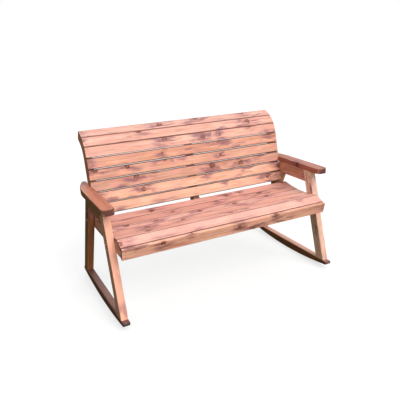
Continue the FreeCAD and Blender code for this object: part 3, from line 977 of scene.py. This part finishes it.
@dataclass(frozen=True)
class Frames:
    """The legs, rockers, rails, uprights and arms."""

    front_leg_lean: float = math.radians(90.0 - 16.7)
    rear_leg_lean: float = math.radians(90.0 + 23.4)
    upright_lean: float = math.radians(90.0 - 13.5)
    seed: int = 300

    def leans(self) -> dict[str, tuple[float, StainedSoftwood]]:
        """Returns the grain's angle up from +Y and the finish, by how a node's name begins."""
        return {
            "front_leg_left": (self.front_leg_lean, LEFT_LEG_WOOD),
            "front_leg_right": (self.front_leg_lean, RIGHT_LEG_WOOD),
            "rear_leg_left": (self.rear_leg_lean, REAR_LEFT_LEG_WOOD_IN_PAINTED_SHADE),
            "rear_leg_right": (self.rear_leg_lean, REAR_RIGHT_LEG_WOOD),
            "back_upright": (self.upright_lean, UPRIGHT_WOOD),
            "seat_rail": (0.0, RAIL_WOOD),
            "arm_rail_left": (0.0, LEFT_ARM_RAIL_WOOD_IN_PAINTED_SHADE),
            "arm_rail_right": (0.0, RAIL_WOOD),
            "rocker_left": (0.0, LEFT_ROCKER_WOOD_IN_PAINTED_SHADE),
            "rocker_right": (0.0, RIGHT_ROCKER_WOOD),
        }

    def dress(self, nodes: dict[str, bpy.types.Object]) -> None:
        """Gives each timber its own wood."""
        seed = self.seed
        for beginning, (lean, finish) in self.leans().items():
            for name in sorted(n for n in nodes if n.startswith(beginning)):
                grain = Grain.of_timber(nodes[name], lean)
                coat(nodes[name], finish.material(f"wood_{name}", grain, Timber.SQUARE, seed))
                seed += 1
        for name, finish in (("arm_left", LEFT_ARM_WOOD), ("arm_right", RIGHT_ARM_WOOD)):
            grain = Grain.of_arm(nodes[name])
            coat(nodes[name], finish.material(f"wood_{name}", grain, Timber.BOARD, seed))
            seed += 1
        LOG.info("frames: %d timbers", seed - self.seed)


# Studio

@dataclass(frozen=True)
class Viewpoint:
    """The camera's place in metres, its aim in radians and its focal length in picture widths."""

    position: Triple = (-1.4035, -2.6401, 1.5814)
    yaw: float = -0.4781
    pitch: float = -0.3389
    roll: float = -0.0283
    focal_widths: float = 468.0 / 400.0
    centre_shift: float = 0.5 / 400.0
    sensor_mm: float = 36.0

    def axes(self) -> Matrix:
        """Returns the turn whose columns are the picture's right, its up and the way back."""
        ahead = Vector((
            -math.sin(self.yaw) * math.cos(self.pitch),
            math.cos(self.yaw) * math.cos(self.pitch),
            math.sin(self.pitch),
        ))
        level = Vector((math.cos(self.yaw), math.sin(self.yaw), 0.0))
        upright = level.cross(ahead)
        right = math.cos(self.roll) * level + math.sin(self.roll) * upright
        up = math.cos(self.roll) * upright - math.sin(self.roll) * level
        return Matrix((right, up, -ahead)).transposed()

    def place(self) -> None:
        """Adds the camera and makes it the scene's own."""
        lens = bpy.data.cameras.new("camera")
        lens.sensor_width = self.sensor_mm
        lens.lens = self.focal_widths * self.sensor_mm
        lens.shift_x = -self.centre_shift
        lens.shift_y = self.centre_shift
        camera = bpy.data.objects.new("camera", lens)
        camera.matrix_world = Matrix.Translation(self.position) @ self.axes().to_4x4()
        show(camera)
        bpy.context.scene.camera = camera


@dataclass(frozen=True)
class Lamp:
    """A broad distant lamp: where its light comes from, its strength and its width."""

    name: str
    towards: Triple
    strength: float
    width_degrees: float
    tint: Colour = WHITE

    def place(self) -> None:
        """Adds the lamp."""
        sun = bpy.data.lights.new(self.name, "SUN")
        sun.energy = self.strength
        sun.angle = math.radians(self.width_degrees)
        sun.color = self.tint
        lamp = bpy.data.objects.new(self.name, sun)
        lamp.rotation_mode = "QUATERNION"
        lamp.rotation_quaternion = Vector(self.towards).to_track_quat("Z", "Y")
        show(lamp)


@dataclass(frozen=True)
class Studio:
    """Pale floor, one soft key light, four weak fills and a dim surround."""

    lamps: tuple[Lamp, ...] = (
        Lamp("key", towards=(0.26, -0.67, 0.70), strength=1.95, width_degrees=40),
        Lamp("front_fill", towards=(0.10, -0.96, 0.26), strength=1.6, width_degrees=60),
        Lamp("top_fill", towards=(0.05, 0.05, 1.0), strength=1.35, width_degrees=80,
             tint=(0.84, 0.92, 1.0)),
        Lamp("back_fill", towards=(0.35, 0.80, 0.48), strength=1.3, width_degrees=60),
        Lamp("side_fill", towards=(-0.92, -0.30, 0.25), strength=0.78, width_degrees=70),
    )
    surround: float = 0.10
    surround_tint: Colour = (1.0, 0.98, 0.45)
    floor_size: float = 60.0
    floor_bounce: Colour = (0.10, 0.095, 0.045)
    floor_glow: float = 0.68

    def _surround(self) -> None:
        """Makes the surround white where the camera sees it and dim elsewhere."""
        world = bpy.data.worlds.new("surround")
        graph = Graph(world)
        seen = graph.add("ShaderNodeLightPath").outputs["Is Camera Ray"]
        white = graph.add("ShaderNodeBackground", {"Color": WHITE})
        dim = graph.add("ShaderNodeBackground", {
            "Color": self.surround_tint, "Strength": self.surround})
        mix = graph.add("ShaderNodeMixShader", {0: seen, 1: dim.outputs[0], 2: white.outputs[0]})
        bpy.context.scene.world = graph.finish(mix, Output.WORLD)

    def _floor(self) -> None:
        """Adds the floor, white where the camera sees it, with the bench's soft shadow."""
        graph = Graph(bpy.data.materials.new("floor"))
        seen = graph.add("ShaderNodeLightPath").outputs["Is Camera Ray"]
        lit = graph.add("ShaderNodeBsdfDiffuse", {
            "Color": graph.mix(seen, self.floor_bounce, WHITE)})
        glow = graph.add("ShaderNodeEmission", {"Color": WHITE, "Strength": 1.0})
        share = graph.times(seen, self.floor_glow)
        mix = graph.add("ShaderNodeMixShader", {0: share, 1: lit.outputs[0], 2: glow.outputs[0]})
        half = self.floor_size / 2
        corners = [(-half, -half, 0.0), (half, -half, 0.0), (half, half, 0.0), (-half, half, 0.0)]
        mesh = bpy.data.meshes.new("floor")
        mesh.from_pydata(corners, [], [(0, 1, 2, 3)])
        floor = bpy.data.objects.new("floor", mesh)
        show(floor)
        coat(floor, graph.finish(mix))

    def build(self) -> None:
        """Adds the lights, the surround and the floor."""
        for lamp in self.lamps:
            lamp.place()
        self._surround()
        self._floor()
        bpy.context.scene.view_settings.view_transform = "Standard"
        LOG.info("studio: floor, %d lamps and surround", len(self.lamps))


def main() -> None:
    """Dresses the bench and sets up the studio."""
    logging.basicConfig(level=logging.INFO, format="%(message)s")
    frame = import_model()
    nodes = frame["nodes"]
    steel = STEEL.material("steel")
    for boards in (
        Boards("seat_slat", (REAR_SEAT_WOOD_IN_PAINTED_SHADE,) * 2 + (SEAT_WOOD,) * 3 + (NOSE_WOOD,),
               BoardScrews("seat_screws", seed=5), seed=100),
        Boards("apron", (APRON_WOOD,), BoardScrews("apron_screws", seed=6), seed=150),
        Boards("back_slat", (LOW_BACK_WOOD_IN_PAINTED_LIGHT,) * 2 + (BACK_WOOD,) * 3 + (SCROLL_WOOD,) * 3,
               BoardScrews("back_screws", seed=7), seed=200),
    ):
        boards.dress(nodes, steel)
    Frames().dress(nodes)
    for name in ("frame_bolts", "bolt_nuts"):
        coat(nodes[name], steel)
    Studio().build()
    Viewpoint().place()


if __name__ == "__main__":
    main()
